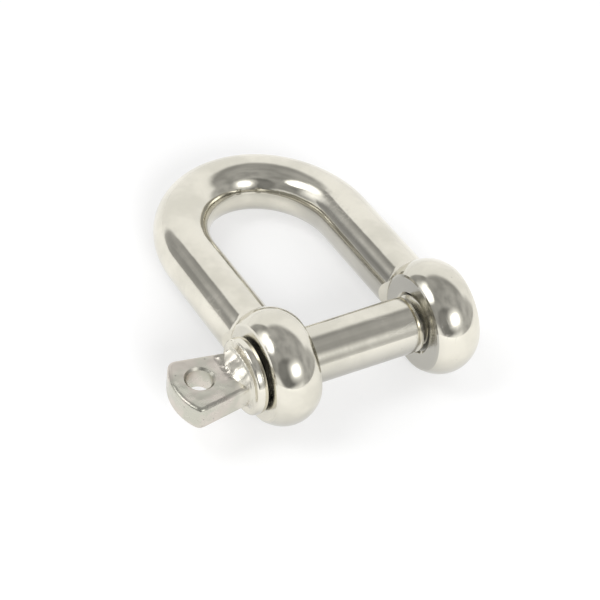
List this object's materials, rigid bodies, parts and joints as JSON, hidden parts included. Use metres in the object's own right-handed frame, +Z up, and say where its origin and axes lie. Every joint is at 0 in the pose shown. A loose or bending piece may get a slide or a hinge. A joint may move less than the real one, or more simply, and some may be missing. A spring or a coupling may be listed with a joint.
{
  "type": "dee shackle",
  "caption": "Screw-pin dee shackle: a D-shaped round-bar bow with button eyes, closed by a threaded pin with a collar and a flat drilled tab.",
  "frame": {"origin": "on the pin's axis, midway between the two eyes", "axes": "+X along the pin from its head to its thread, +Y from the pin towards the crown, +Z up as the shackle lies on a bench"},
  "size_m": [0.0429, 0.0501, 0.016],
  "materials": {
    "polished_stainless": "polished",
    "cast_stainless": "satin, tumbled forging",
    "turned_stainless": "polished with fine turning marks"
  },
  "bodies": {
    "bow": {"bow": "polished_stainless"},
    "pin_travel": {"pin_shank": "turned_stainless"},
    "pin_turn": {"pin_head": "cast_stainless", "pin_thread": "turned_stainless"}
  },
  "joints": [
    {"name": "pin_advance", "type": "slide", "parent": "bow", "child": "pin_travel", "axis": [-1, 0, 0], "range_m": [-0.00038, 0.03375]},
    {"name": "pin_screw", "type": "hinge", "parent": "pin_travel", "child": "pin_turn", "pos_m": [0, 0, 0], "axis": [-1, 0, 0], "range_deg": [-110, 9730]}
  ],
  "couplings": [
    {"joint": "pin_screw", "follows": "pin_advance", "rad_per_m": 5026.5}
  ]
}
